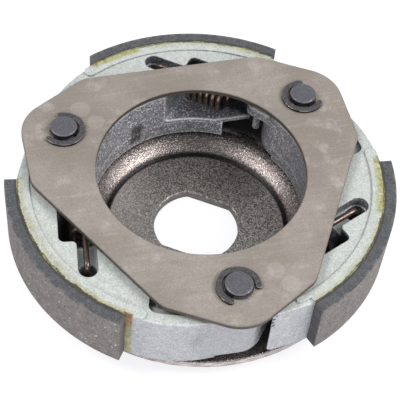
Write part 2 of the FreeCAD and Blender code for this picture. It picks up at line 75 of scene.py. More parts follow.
class Paint:
    """Builds one procedural material; values are numbers or sockets."""

    def __init__(self, name):
        self.mat = bpy.data.materials.new(name)
        self.mat.use_nodes = True
        self.nt = self.mat.node_tree
        self.nt.nodes.clear()
        self.out = self.nt.nodes.new("ShaderNodeOutputMaterial")
        self.bsdf = self.nt.nodes.new("ShaderNodeBsdfPrincipled")
        self.nt.links.new(self.bsdf.outputs[0], self.out.inputs[0])
        self.tc = self.nt.nodes.new("ShaderNodeTexCoord")
        self.pos = self.tc.outputs["Object"]
        self.nor = self.tc.outputs["Normal"]

    def link(self, value, socket):
        if hasattr(value, "is_output"):
            self.nt.links.new(value, socket)
        elif value is not None:
            socket.default_value = value

    def math(self, op, a, b=None, c=None, clamp=False):
        n = self.nt.nodes.new("ShaderNodeMath")
        n.operation = op
        n.use_clamp = clamp
        for value, socket in zip((a, b, c), n.inputs):
            self.link(value, socket)
        return n.outputs[0]

    def plus(self, *values):
        total = values[0]
        for v in values[1:]:
            total = self.math("ADD", total, v)
        return total

    def times(self, *values):
        total = values[0]
        for v in values[1:]:
            total = self.math("MULTIPLY", total, v)
        return total

    def around(self, value, width):
        """A noise value spread evenly about nought, over this width in all."""
        return self.times(self.math("SUBTRACT", value, 0.5), width)

    def vec(self, op, a, b=None):
        n = self.nt.nodes.new("ShaderNodeVectorMath")
        n.operation = op
        self.link(a, n.inputs[0])
        self.link(b, n.inputs[1])
        return n.outputs["Value"] if op in ("DOT_PRODUCT", "LENGTH", "DISTANCE") else n.outputs[0]

    def xyz(self, v):
        n = self.nt.nodes.new("ShaderNodeSeparateXYZ")
        self.nt.links.new(v, n.inputs[0])
        return n.outputs[0], n.outputs[1], n.outputs[2]

    def combine(self, x, y, z):
        n = self.nt.nodes.new("ShaderNodeCombineXYZ")
        for value, socket in zip((x, y, z), n.inputs):
            self.link(value, socket)
        return n.outputs[0]

    def offset(self, place_x, place_y):
        """How far a point lies from a place in plan, along X and along Y."""
        x, y, z = self.xyz(self.vec("SUBTRACT", self.pos, (place_x, place_y, 0.0)))
        return x, y

    def length(self, x, y):
        return self.vec("LENGTH", self.combine(x, y, 0.0))

    def own_place(self, k):
        """Position with shoe k turned back to the top, and radius and angle about its arc's centre."""
        rot = self.nt.nodes.new("ShaderNodeVectorRotate")
        rot.rotation_type = "Z_AXIS"
        rot.inputs["Angle"].default_value = -math.radians(PITCH * k)
        self.nt.links.new(self.pos, rot.inputs["Vector"])
        own = rot.outputs[0]
        x, y, z = self.xyz(own)
        from_centre = self.math("SUBTRACT", y, ARC_OFF)
        ang = self.math("DEGREES", self.math("ARCTAN2", from_centre, x))
        return own, self.length(x, from_centre), ang

    def stretched(self, sx, sy, sz, turn=0.0):
        n = self.nt.nodes.new("ShaderNodeMapping")
        self.nt.links.new(self.pos, n.inputs[0])
        n.inputs["Rotation"].default_value = (0, 0, turn)
        n.inputs["Scale"].default_value = (sx, sy, sz)
        return n.outputs[0]

    def noise(self, scale, detail=3.0, rough=0.55, at=None, seed=0.0):
        n = self.nt.nodes.new("ShaderNodeTexNoise")
        n.noise_dimensions = "4D"
        self.nt.links.new(at or self.pos, n.inputs["Vector"])
        n.inputs["W"].default_value = seed
        n.inputs["Scale"].default_value = scale
        n.inputs["Detail"].default_value = detail
        n.inputs["Roughness"].default_value = rough
        return n.outputs["Fac"]

    def cells(self, scale, at=None):
        """Distance to the middle of the nearest cell."""
        n = self.nt.nodes.new("ShaderNodeTexVoronoi")
        self.nt.links.new(at or self.pos, n.inputs["Vector"])
        n.inputs["Scale"].default_value = scale
        return n.outputs["Distance"]

    def grit(self, scale, at=None):
        """One random value for each small grain."""
        n = self.nt.nodes.new("ShaderNodeTexVoronoi")
        self.nt.links.new(at or self.pos, n.inputs["Vector"])
        n.inputs["Scale"].default_value = scale
        return self.xyz(n.outputs["Color"])[0]

    def span(self, value, a, b, lo=0.0, hi=1.0):
        """Value from a to b becomes lo to hi, held at the ends."""
        n = self.nt.nodes.new("ShaderNodeMapRange")
        n.interpolation_type = "SMOOTHSTEP"
        self.link(value, n.inputs["Value"])
        for name, number in (("From Min", a), ("From Max", b), ("To Min", lo), ("To Max", hi)):
            n.inputs[name].default_value = number
        return n.outputs["Result"]

    def band(self, value, a, b, c, d):
        """Nought below a, one from b to c, nought above d."""
        return self.times(self.span(value, a, b), self.span(value, c, d, 1.0, 0.0))

    def mix(self, fac, a, b):
        n = self.nt.nodes.new("ShaderNodeMix")
        n.data_type = "RGBA"
        self.link(fac, n.inputs[0])
        self.link(a, n.inputs[6])
        self.link(b, n.inputs[7])
        return n.outputs[2]

    def blotchy(self, value, a, b, first, second):
        """Two colours, shared out by a noise value."""
        return self.mix(self.span(value, a, b), srgb(*first), srgb(*second))

    def coats(self, tone, *coats):
        """Coats over a tone, each (value, where it starts, where it is full, strength, colour)."""
        for value, start, full, strength, colour in coats:
            tone = self.mix(self.span(value, start, full, 0.0, strength), tone, srgb(*colour))
        return tone

    def bump(self, height, strength, distance, normal=None):
        n = self.nt.nodes.new("ShaderNodeBump")
        self.link(strength, n.inputs["Strength"])
        n.inputs["Distance"].default_value = distance
        self.nt.links.new(height, n.inputs["Height"])
        self.link(normal, n.inputs["Normal"])
        return n.outputs[0]

    def soft_edges(self, radius):
        n = self.nt.nodes.new("ShaderNodeBevel")
        n.samples = 4
        n.inputs["Radius"].default_value = radius
        return n.outputs[0]

    def worn(self, radius, a=0.995, b=0.86):
        """One near the edges, nought on open faces."""
        n = self.nt.nodes.new("ShaderNodeBevel")
        n.samples = 6
        n.inputs["Radius"].default_value = radius
        g = self.nt.nodes.new("ShaderNodeNewGeometry")
        return self.span(self.vec("DOT_PRODUCT", n.outputs[0], g.outputs["Normal"]), a, b)

    def finish(self, colour, rough, normal, metallic=0.0, specular=0.5):
        self.link(colour, self.bsdf.inputs["Base Color"])
        self.link(rough, self.bsdf.inputs["Roughness"])
        self.link(metallic, self.bsdf.inputs["Metallic"])
        self.bsdf.inputs["Specular IOR Level"].default_value = specular
        self.nt.links.new(normal, self.bsdf.inputs["Normal"])
        return self.mat


# dried drops on the side plate, each (x, y, radius) in millimetres
DROPS = ((13.3, -44.9, 2.7), (16.8, -51.0, 2.9), (-35.3, 33.1, 3.2), (-31.0, 26.3, 2.7))


def side_plate_steel():
    """Rolled sheet, cloudy and streaked, with scuffs round the pins, and its upright edge painted darker as
    shade.
    """
    p = Paint("side_plate_steel")
    nz = p.xyz(p.nor)[2]
    smudge = p.noise(34.0, 3.0, 0.5, seed=7.0)
    patch = p.noise(150.0, 4.0, 0.6, seed=5.0)
    mid = p.noise(620.0, 3.0, 0.6, seed=13.0)
    fine = p.noise(1700.0, 2.0, 0.6, seed=3.0)
    streak = p.noise(1.0, 3.0, 0.6, p.stretched(70.0, 620.0, 60.0, 0.5), 17.0)
    tone = p.coats(
        p.blotchy(smudge, 0.38, 0.62, (143, 134, 125), (161, 152, 144)),
        (patch, 0.52, 0.7, 0.6, (186, 178, 169)),
        (patch, 0.46, 0.3, 0.6, (142, 133, 122)),
        (streak, 0.5, 0.72, 0.3, (184, 177, 168)),
        (streak, 0.46, 0.3, 0.3, (138, 129, 118)),
        (mid, 0.45, 0.68, 0.45, (146, 137, 128)),
        (fine, 0.45, 0.7, 0.5, (132, 123, 115)),
        (fine, 0.42, 0.3, 0.35, (196, 188, 180)),
    )
    pits = p.span(p.cells(260.0), 0.02, 0.09, 1.0, 0.0)
    rare = p.span(p.noise(75.0, 2.0, 0.5, seed=8.0), 0.6, 0.66)
    tone = p.mix(p.times(pits, rare, 0.8), tone, srgb(92, 84, 79))
    # thin curved scratches round the pins, as a turning ring leaves them
    scuff = 0.0
    for k in range(SHOES):
        x, y = p.offset(*pin_place(k))
        away = p.length(x, y)
        turned = p.combine(p.times(away, 3200.0), p.times(x, 40.0), p.times(y, 40.0))
        rings = p.noise(1.0, 2.0, 0.6, turned, 3.0 + k)
        near = p.span(away, 8.5 * MM, 12.5 * MM, 1.0, 0.0)
        scuff = p.math("MAXIMUM", scuff, p.times(near, p.span(rings, 0.56, 0.7)))
    tone = p.mix(p.times(scuff, 0.42), tone, srgb(118, 108, 101))
    # pale dried drops, each a faint pool with a stronger ring
    for drop_x, drop_y, size in DROPS:
        away = p.length(*p.offset(drop_x * MM, drop_y * MM))
        away = p.plus(away, p.around(patch, 1.6 * MM))
        pool = p.span(away, size * MM, (size - 0.7) * MM, 0.0, 0.17)
        ring = p.band(away, (size - 0.6) * MM, (size - 0.3) * MM, (size + 0.1) * MM, (size + 0.4) * MM)
        tone = p.mix(p.plus(pool, p.times(ring, 0.14)), tone, srgb(200, 193, 186))
    # painted shade: the upright edge faces are darker and browner than the top
    edge = p.mix(p.noise(700.0, 3.0, 0.6, seed=9.0), srgb(60, 53, 51), srgb(98, 89, 84))
    tone = p.mix(p.span(nz, 0.35, 0.9), edge, tone)
    rim = p.times(p.worn(0.7 * MM), p.span(patch, 0.3, 0.5, 0.5, 1.0), 0.6)
    tone = p.mix(rim, tone, srgb(116, 106, 100))
    height = p.plus(p.times(mid, 0.5), p.times(fine, 0.6))
    normal = p.bump(height, 0.3, 0.06 * MM, p.soft_edges(0.25 * MM))
    return p.finish(tone, p.span(patch, 0.3, 0.8, 0.5, 0.62), normal, metallic=0.18, specular=0.3)


def pin_steel():
    """Phosphated steel: grey tops, sides painted black as shade, and a worn rim."""
    p = Paint("pin_steel")
    nz = p.xyz(p.nor)[2]
    fine = p.noise(1500.0, 3.0, 0.6)
    broad = p.noise(260.0, 3.0, 0.6, seed=4.0)
    tone = p.coats(
        p.blotchy(fine, 0.3, 0.7, (92, 91, 96), (116, 115, 121)),
        (broad, 0.5, 0.8, 0.35, (74, 73, 76)),
        # painted shade: the sides are near black
        (nz, 0.6, 0.15, 0.92, (20, 19, 21)),
    )
    rim = p.times(p.worn(0.5 * MM, 0.999, 0.93), p.span(broad, 0.42, 0.6), 0.6)
    tone = p.mix(rim, tone, srgb(168, 166, 168))
    normal = p.bump(fine, 0.3, 0.05 * MM, p.soft_edges(0.55 * MM))
    return p.finish(tone, p.span(broad, 0.3, 0.8, 0.28, 0.42), normal, metallic=0.4)


def ring_steel():
    """Dark spring steel, with its edges painted light as glints, its sides painted dark as shade, and a
    black band round each pin painted as shade.
    """
    p = Paint("ring_steel")
    nz = p.xyz(p.nor)[2]
    fine = p.noise(1800.0, 3.0, 0.6)
    broad = p.noise(240.0, 3.0, 0.6, seed=2.0)
    tone = p.coats(
        p.blotchy(fine, 0.3, 0.75, (82, 79, 80), (120, 116, 116)),
        (broad, 0.5, 0.7, 0.4, (70, 67, 68)),
        # painted shade: the sides are near black
        (nz, 0.5, 0.1, 0.9, (18, 17, 18)),
    )
    # painted highlight: light glints along the edges
    rim = p.times(p.worn(0.4 * MM, 0.999, 0.93), p.span(broad, 0.4, 0.55), 0.8)
    tone = p.mix(rim, tone, srgb(205, 200, 198))
    # painted shade: a black band on the top round each pin, as the shade in the gap to the pin
    for k in range(SHOES):
        away = p.length(*p.offset(*pin_place(k)))
        tone = p.coats(tone, (away, 5.7 * MM, 5.1 * MM, 0.92, (14, 13, 14)))
    normal = p.bump(fine, 0.25, 0.04 * MM, p.soft_edges(0.4 * MM))
    return p.finish(tone, p.span(fine, 0.3, 0.8, 0.26, 0.4), normal, metallic=0.6)


def eased_bead_normal(p, r, nz):
    """The bead's normal leans upwards over its inner slope, which so shades rounder than its mesh."""
    low = p.span(r, BEAD_FOOT_R, BEAD_FOOT_R + 1.2 * MM, 0.0, 0.4)
    high = p.span(r, BEAD_FOOT_R + 1.2 * MM, BEAD_CREST_R, 0.0, 0.8)
    past = p.span(r, BEAD_CREST_R + 0.3 * MM, BEAD_CREST_R + 3.4 * MM, 0.0, 1.2)
    lean = p.times(p.math("SUBTRACT", p.plus(low, high), past), p.span(nz, 0.2, 0.45))
    up = p.nt.nodes.new("ShaderNodeVectorTransform")
    up.vector_type = "VECTOR"
    up.convert_from = "OBJECT"
    up.convert_to = "WORLD"
    p.nt.links.new(p.combine(0.0, 0.0, lean), up.inputs[0])
    return p.vec("NORMALIZE", p.vec("ADD", p.soft_edges(0.3 * MM), up.outputs[0]))


def drive_plate_steel():
    """One pressing: satin bead, grainy floor, striated sheared edges, and painted shade: black under the
    shoes and a dark line at the bead's foot.
    """
    p = Paint("drive_plate_steel")
    x, y, z = p.xyz(p.pos)
    nz = p.xyz(p.nor)[2]
    r = p.length(x, y)
    grain = p.noise(2300.0, 2.0, 0.7, seed=1.0)
    coarse = p.noise(1250.0, 3.0, 0.7, seed=6.0)
    cloud = p.noise(60.0, 3.0, 0.55, seed=3.0)
    bit = p.grit(2900.0)
    satin = p.coats(
        p.blotchy(cloud, 0.3, 0.7, (92, 82, 79), (120, 109, 105)),
        (bit, 0.72, 0.8, 0.2, (236, 230, 227)),
        (bit, 0.28, 0.2, 0.3, (66, 56, 53)),
        (grain, 0.52, 0.68, 0.7, (232, 225, 221)),
        (grain, 0.44, 0.34, 0.6, (92, 80, 76)),
    )
    floor_tone = p.coats(
        p.blotchy(coarse, 0.36, 0.66, (126, 119, 112), (184, 178, 170)),
        (grain, 0.5, 0.64, 0.85, (236, 231, 224)),
        (grain, 0.46, 0.36, 0.75, (74, 68, 63)),
        (cloud, 0.45, 0.75, 0.3, (90, 80, 74)),
        (bit, 0.74, 0.82, 0.6, (246, 242, 236)),
        (bit, 0.3, 0.2, 0.6, (58, 52, 48)),
        # painted light: the floor is lighter towards -x, where more light falls on it
        (x, -5.0 * MM, -22.0 * MM, 0.35, (206, 198, 188)),
    )
    inside = p.span(r, BEAD_FOOT_R - 1.1 * MM, BEAD_FOOT_R + 0.4 * MM, 1.0, 0.0)
    tone = p.mix(inside, satin, floor_tone)
    # painted shade: a thin dark line in the crease at the bead's foot
    foot = p.band(r, BEAD_FOOT_R - 0.7 * MM, BEAD_FOOT_R, BEAD_FOOT_R + 0.8 * MM, BEAD_FOOT_R + 1.8 * MM)
    tone = p.mix(p.times(foot, 0.97), tone, srgb(16, 14, 14))
    # the rim and the hub hole are sheared, and striated along the thickness; the rim's striations are
    # painted light, partly as a highlight along its edge, and the hub's darker
    shear = p.noise(1.0, 3.0, 0.6, p.stretched(260.0, 260.0, 2600.0), 4.0)
    at_hub = (r, HUB_HOLE_R + 0.5 * MM, HUB_HOLE_R + 1.5 * MM)
    sheared = p.blotchy(shear, 0.3, 0.7, (140, 129, 123), (232, 224, 220))
    sheared = p.mix(p.span(*at_hub, 0.7, 0.0), sheared, srgb(92, 84, 80))
    upright = p.span(p.math("ABSOLUTE", nz), 0.2, 0.5, 1.0, 0.0)
    at_rim = (r, RIM_R - 1.3 * MM, RIM_R - 0.3 * MM)
    edges = p.math("ADD", p.span(*at_rim), p.span(*at_hub, 1.0, 0.0), clamp=True)
    tone = p.mix(p.times(upright, edges), tone, sheared)
    # painted shade: under the shoes the flange is painted near black, as the shade there, and is made
    # rougher and less metallic
    shade_under_shoes = p.band(r, FLANGE_FROM, FLANGE_FROM + 2.0 * MM, RIM_R - 4.3 * MM, RIM_R - 0.5 * MM)
    tone = p.mix(p.times(shade_under_shoes, 0.9), tone, srgb(22, 21, 26))
    height = p.plus(p.times(grain, 0.8), p.times(coarse, 0.9))
    normal = p.bump(height, 0.62, 0.16 * MM, eased_bead_normal(p, r, nz))
    rough = p.plus(p.span(grain, 0.3, 0.8, 0.23, 0.33), p.times(inside, 0.08), p.times(shade_under_shoes, 0.35))
    return p.finish(tone, rough, normal, metallic=p.math("SUBTRACT", 0.85, p.times(shade_under_shoes, 0.7)))


# what each shoe has of its own; angles and places are those of the shoe at the top
GREEN_GLUE = ((148, 145, 88), (183, 184, 134))
OCHRE_GLUE = ((146, 134, 90), (186, 179, 140))
FREE_END_R = 58.7 * MM              # outer face near the free end
SHOE_MARKS = (
    {
        # each smear is (from degree, to degree, reach inwards in millimetres, strength)
        "smears": ((97.0, 118.0, 3.2, 1.0), (58.0, 97.0, 2.6, 0.5), (50.0, 64.0, 3.0, 0.6)),
        "smear_tones": GREEN_GLUE,
        # each casting pit is (degree, height, radius), lengths in millimetres
        "pits": (),
        # the last two values darken the inner walls as painted shade
        "rust": 0.15, "seam": 0.6, "finger": 0.15, "oil": 0.88, "inner_shade": 0.0, "deep": 0.55,
    },
    {
        "smears": ((48.0, 72.0, 3.0, 0.5), (66.0, 98.0, 3.7, 0.42), (95.0, 118.0, 2.5, 0.85)),
        "smear_tones": OCHRE_GLUE,
        "pits": (),
        "rust": 0.85, "seam": 0.9, "finger": 0.45, "oil": 0.12, "inner_shade": 0.0, "deep": 0.0,
    },
    {
        "smears": ((92.0, 118.0, 3.2, 1.0), (50.0, 92.0, 2.4, 0.5)),
        "smear_tones": GREEN_GLUE,
        "pits": ((37.6, 29.1, 0.8), (37.4, 27.4, 0.75), (37.7, 25.5, 0.8), (38.4, 30.6, 0.5)),
        "rust": 0.15, "seam": 0.6, "finger": 0.15, "oil": 0.12, "inner_shade": 0.36, "deep": 0.0,
    },
)


class ShoePaint(Paint):
    """A shoe's material: coordinates as if the shoe were at the top, and the noises its layers share."""

    def __init__(self, k):
        super().__init__("cast_aluminium_" + str(k + 1))
        self.marks = SHOE_MARKS[k]
        self.own, self.r, self.ang = self.own_place(k)
        self.x, self.y, self.z = self.xyz(self.own)
        self.nz = self.xyz(self.nor)[2]
        self.top = self.span(self.nz, 0.55, 0.9)
        self.outer = self.span(self.r, 54.5 * MM, 57.5 * MM)
        self.level = self.times(self.top, self.span(self.z, LAND_Z - 5.2 * MM, LAND_Z - 3.8 * MM))
        self.fine = self.noise(1900.0, 2.0, 0.65, seed=1.0 + k)
        self.mid = self.noise(420.0, 4.0, 0.65, seed=2.0 + k)
        self.broad = self.noise(70.0, 3.0, 0.55, seed=3.0 + k)
        self.blot = self.noise(260.0, 4.0, 0.65, seed=7.0 + k)
        self.dab = self.noise(900.0, 3.0, 0.65, seed=27.0 + k)
        self.patchy = self.noise(620.0, 4.0, 0.7, seed=21.0 + k)
        self.browned = self.noise(480.0, 4.0, 0.7, seed=31.0 + k)
        self.speck = self.grit(2700.0, self.own)


def machined_land(p):
    return p.coats(
        p.blotchy(p.mid, 0.3, 0.7, (190, 194, 189), (206, 210, 204)),
        (p.fine, 0.46, 0.68, 0.75, (158, 163, 161)),
        (p.fine, 0.42, 0.28, 0.7, (232, 235, 231)),
    )


def outer_wall(p):
    """Cast, a little dusty, and painted darker near the pivot as shade."""
    return p.coats(
        p.blotchy(p.mid, 0.3, 0.7, (168, 169, 172), (188, 189, 192)),
        (p.fine, 0.5, 0.68, 0.7, (138, 139, 142)),
        (p.fine, 0.44, 0.32, 0.7, (222, 223, 225)),
        (p.broad, 0.6, 0.75, 0.4, (150, 151, 156)),
        # painted shade: the outer wall is darker near the pivot, where it turns away from the light
        (p.ang, 133.0, 141.0, 0.35, (138, 139, 143)),
        (p.speck, 0.26, 0.16, 0.35, (120, 121, 125)),
    )


def inner_walls(p):
    """As cast, with bright grains; its edges are painted lighter, partly as worn metal and partly as
    highlights, and the shelf's lip is painted white as a highlight.
    """
    cast = p.coats(
        p.blotchy(p.mid, 0.3, 0.7, (150, 151, 158), (186, 187, 194)),
        (p.fine, 0.54, 0.68, 0.8, (228, 229, 235)),
        (p.broad, 0.55, 0.75, 0.4, (118, 115, 118)),
    )
    # painted shade: the inner walls are painted darker than the outer wall
    cast = p.mix(0.33, cast, srgb(84, 84, 90))
    cast = p.coats(cast, (p.speck, 0.32, 0.2, 0.7, (80, 80, 86)), (p.speck, 0.82, 0.9, 0.9, (252, 252, 255)))
    # painted highlight and worn metal: the edges are painted lighter
    cast_edges = p.worn(1.4 * MM, 0.999, 0.95)
    wear_and_glint = p.times(cast_edges, p.span(p.mid, 0.3, 0.5), p.span(p.speck, 0.2, 0.35), 0.9)
    cast = p.mix(wear_and_glint, cast, srgb(250, 250, 254))
    # painted highlight: a white line along the shelf's lip
    lip = p.band(p.z, SHELF_Z - 0.8 * MM, SHELF_Z - 0.3 * MM, SHELF_Z + 0.3 * MM, SHELF_Z + 0.8 * MM)
    cast = p.mix(p.times(cast_edges, lip, p.span(p.mid, 0.3, 0.42), 0.95), cast, srgb(255, 255, 255))
    # painted shade: this shoe's inner walls are darker still, by its own amount
    cast = p.mix(p.marks["inner_shade"], cast, srgb(84, 83, 89))
    # painted shade: the walls of the slot and pocket, out past 46 mm, are darker on the top shoe
    return p.coats(cast, (p.r, 46.0 * MM, 50.0 * MM, p.marks["deep"], (70, 70, 78)))


def spring_well_shade(p):
    """Painted shade: where the spring's well is darkened; it is laid out along the spring."""
    a = math.radians(SPRING_ANGLE)
    dx = p.math("SUBTRACT", p.x, HOOK[0])
    dy = p.math("SUBTRACT", p.y, HOOK[1])
    along = p.plus(p.times(dx, math.cos(a)), p.times(dy, math.sin(a)))
    side = p.plus(p.times(dx, -math.sin(a)), p.times(dy, math.cos(a)))
    return p.times(
        p.span(along, 9.5 * MM, 10.5 * MM),
        p.band(side, 1.5 * MM, 4.0 * MM, 9.5 * MM, 10.0 * MM),
        p.span(p.z, LAND_Z - 1.8 * MM, LAND_Z - 0.6 * MM, 1.0, 0.0),
    )


def with_adhesive(p, tone):
    """Adhesive squeezed out over the rim: smears, a rusty strip beside the lining's end and a dark seam."""
    edge = p.plus(p.r, p.around(p.blot, 3.4 * MM), p.around(p.dab, 2.2 * MM))
    rim_top = p.times(p.top, p.span(p.z, RIM_Z - 1.4 * MM, RIM_Z - 0.8 * MM))
    left = p.span(p.patchy, 0.28, 0.52)
    olive = p.blotchy(p.dab, 0.4, 0.6, *p.marks["smear_tones"])
    olive = p.coats(olive, (p.browned, 0.56, 0.68, 0.7, (92, 80, 52)))
    for start, end, reach, strength in p.marks["smears"]:
        inner = BODY_R - reach * MM
        near = p.band(p.ang, start, start + 3.0, end - 3.0, end)
        film = p.times(p.span(edge, inner, inner + 1.6 * MM), near, rim_top, left, strength)
        tone = p.mix(film, tone, olive)
    strip_end = p.span(p.plus(p.ang, p.times(p.blot, 1.6)), 117.6, 118.2, 1.0, 0.0)
    strip = p.times(p.span(p.ang, 114.0, 114.4), strip_end, p.span(p.r, 59.0 * MM, 59.8 * MM), 0.92)
    creep = p.plus(p.around(p.blot, 16.0 * MM), p.span(p.ang, 114.6, 115.8, 6.0 * MM, 0.0))
    rust = p.times(p.span(p.plus(p.z, creep), 24.5 * MM, 29.0 * MM), p.marks["rust"])
    glue_tone = p.blotchy(p.mid, 0.38, 0.62, (150, 147, 112), (182, 181, 150))
    glue_tone = p.coats(glue_tone, (p.fine, 0.5, 0.7, 0.6, (112, 104, 76)))
    rust_tone = p.blotchy(p.dab, 0.4, 0.6, (96, 60, 30), (176, 122, 58))
    tone = p.mix(strip, tone, p.mix(rust, glue_tone, rust_tone))
    beside = p.band(p.ang, LINING_FROM - 1.4, LINING_FROM - 0.4, LINING_TO - 0.3, LINING_TO + 0.7)
    broken = p.span(p.blot, 0.4, 0.52)
    seam = p.times(p.span(edge, BODY_R - 0.6 * MM, BODY_R - 0.2 * MM), beside, rim_top, broken)
    return p.mix(p.times(seam, p.marks["seam"]), tone, srgb(58, 50, 36))


def with_plate_shadow(p, tone):
    """Painted shadow of the side plate's edge on the scoop beside it, dark with bright grains in it."""
    plate_shadow = p.times(
        p.span(p.plus(p.r, p.around(p.dab, 2.2 * MM)), 52.6 * MM, 53.3 * MM, 1.0, 0.0),
        p.span(p.r, 41.5 * MM, 42.5 * MM),
        p.band(p.ang, 113.0, 116.0, 134.0, 139.0),
        p.band(p.z, 21.5 * MM, 22.5 * MM, 30.2 * MM, 30.8 * MM),
        p.span(p.nz, 0.3, 0.6),
        0.9,
    )
    grains = p.mix(p.span(p.speck, 0.82, 0.9), srgb(56, 54, 60), srgb(196, 196, 204))
    return p.mix(plate_shadow, tone, grains)


def with_pits(p, tone):
    """Small dark casting pits at the free end."""
    for at, pit_z, size in p.marks["pits"]:
        arc = p.times(p.math("SUBTRACT", p.ang, at), math.radians(1.0) * FREE_END_R)
        away = p.length(arc, p.math("SUBTRACT", p.z, pit_z * MM))
        away = p.plus(away, p.around(p.dab, 0.9 * MM))
        pit = p.times(p.span(away, size * MM, size * 0.5 * MM, 0.0, 0.92), p.outer)
        tone = p.mix(pit, tone, srgb(44, 42, 46))
    return tone


def with_stains(p, tone):
    """A faint dark finger mark on the outer wall, and an oil stain on the inner one."""
    finger = p.times(
        p.band(p.ang, 132.5, 136.0, 137.5, 141.0),
        p.band(p.z, 16.0 * MM, 20.0 * MM, 24.0 * MM, 28.0 * MM),
        p.span(p.dab, 0.36, 0.6),
        p.outer,
        p.marks["finger"],
    )
    tone = p.mix(finger, tone, srgb(128, 126, 128))
    oil = p.times(
        p.band(p.ang, 109.0, 113.5, 118.5, 121.5),
        p.span(p.r, 40.0 * MM, 44.0 * MM, 1.0, 0.0),
        p.band(p.z, 11.5 * MM, 14.0 * MM, 20.5 * MM, 23.5 * MM),
        p.span(p.dab, 0.32, 0.46),
        p.marks["oil"],
    )
    return p.mix(oil, tone, srgb(46, 38, 28))


def cast_aluminium(k):
    """A shoe: pale machined top, bluish outer wall, inner walls painted darker as shade, painted shade and
    highlights in places, and what it has picked up.
    """
    p = ShoePaint(k)
    # painted shade: the spring's well is painted near black
    cast = p.mix(p.times(spring_well_shade(p), 0.88), inner_walls(p), srgb(34, 34, 38))
    tone = p.mix(p.outer, cast, outer_wall(p))
    tone = p.mix(p.level, tone, machined_land(p))
    tone = with_adhesive(p, tone)
    tone = with_plate_shadow(p, tone)
    tone = with_pits(p, tone)
    tone = with_stains(p, tone)
    height = p.plus(p.times(p.fine, 0.6), p.times(p.mid, 0.8))
    grip = p.times(p.math("SUBTRACT", 1.0, p.times(p.level, 0.6)), 0.75)
    normal = p.bump(height, grip, 0.22 * MM, p.soft_edges(0.4 * MM))
    rough = p.plus(p.span(p.fine, 0.3, 0.8, 0.4, 0.55), p.times(p.level, 0.1))
    metal = p.math("SUBTRACT", 0.45, p.times(p.math("MAXIMUM", p.level, p.outer), 0.3))
    return p.finish(tone, rough, normal, metallic=metal, specular=0.4)


def lining_compound(k):
    """Friction compound: ground outer face with chips of filler, sawn ends, dark fanned top."""
    p = Paint("friction_lining_" + str(k + 1))
    own, r, ang = p.own_place(k)
    z = p.xyz(own)[2]
    top = p.span(p.xyz(p.nor)[2], 0.4, 0.8)
    face = p.times(p.span(r, LINING_OUT - 0.54 * MM, LINING_OUT - 0.14 * MM), p.math("SUBTRACT", 1.0, top))
    fine = p.noise(2000.0, 2.0, 0.7, seed=1.0 + k)
    mid = p.noise(380.0, 4.0, 0.65, seed=4.0 + k)
    saw = p.noise(1.0, 3.0, 0.6, p.stretched(160.0, 160.0, 2200.0), 2.0 + k)
    fanned = p.combine(p.times(ang, 2.4), p.times(r, 260.0), p.times(z, 100.0))
    fan = p.noise(1.0, 3.0, 0.65, fanned, 6.0 + k)
    dark = p.coats(
        p.blotchy(mid, 0.3, 0.7, (70, 71, 74), (88, 89, 91)),
        (fine, 0.5, 0.68, 0.6, (130, 131, 131)),
        (fine, 0.44, 0.32, 0.6, (54, 55, 57)),
        (fan, 0.56, 0.68, 0.5, (58, 59, 61)),
        (fan, 0.42, 0.32, 0.4, (124, 125, 125)),
    )
    chip = p.times(p.span(r, LINING_OUT - 1.04 * MM, LINING_OUT - 0.14 * MM), p.span(mid, 0.46, 0.6), 0.55)
    dark = p.mix(chip, dark, srgb(134, 128, 122))
    ends = p.blotchy(saw, 0.3, 0.7, (56, 56, 60), (94, 94, 98))
    # painted light: the end towards the pivot is painted lighter than the other
    ends = p.coats(ends, (ang, 90.0, 100.0, 0.75, (112, 107, 104)))
    ground = p.coats(
        p.blotchy(mid, 0.3, 0.7, (108, 103, 100), (132, 127, 123)),
        (fine, 0.48, 0.7, 0.75, (82, 77, 75)),
        (fine, 0.44, 0.3, 0.7, (172, 167, 162)),
    )
    speck = p.times(
        p.span(p.cells(520.0), 0.1, 0.24, 1.0, 0.0),
        p.span(p.noise(210.0, 2.0, 0.5, seed=9.0), 0.48, 0.56),
        0.8,
    )
    ground = p.mix(speck, ground, srgb(202, 198, 192))
    hole = p.times(
        p.span(p.cells(610.0, p.stretched(1.0, 1.0, 1.0, 0.7)), 0.1, 0.26, 1.0, 0.0),
        p.span(p.noise(240.0, 2.0, 0.5, seed=19.0), 0.46, 0.54),
        0.7,
    )
    ground = p.mix(hole, ground, srgb(56, 54, 53))
    tone = p.mix(top, p.mix(face, ends, ground), dark)
    # scorched inner margin beside the adhesive
    wavy = p.plus(r, p.times(mid, 0.6 * MM))
    margin = p.times(top, p.span(wavy, LINING_IN + 0.7 * MM, LINING_IN + 1.1 * MM, 1.0, 0.0), 0.6)
    tone = p.mix(margin, tone, srgb(52, 50, 46))
    height = p.plus(p.times(fine, 0.7), p.times(mid, 0.7), p.times(saw, 0.6))
    normal = p.bump(height, 0.6, 0.2 * MM, p.soft_edges(0.2 * MM))
    return p.finish(tone, p.span(fine, 0.3, 0.8, 0.72, 0.86), normal, specular=0.3)


def adhesive():
    """Yellow-green bonding adhesive with scorched stretches."""
    p = Paint("adhesive")
    blot = p.noise(500.0, 4.0, 0.65)
    wide = p.noise(110.0, 3.0, 0.6, seed=3.0)
    tone = p.coats(
        p.blotchy(blot, 0.35, 0.65, (104, 97, 62), (158, 153, 104)),
        (wide, 0.38, 0.55, 0.85, (52, 46, 36)),
    )
    return p.finish(tone, 0.55, p.bump(blot, 0.5, 0.2 * MM), specular=0.45)


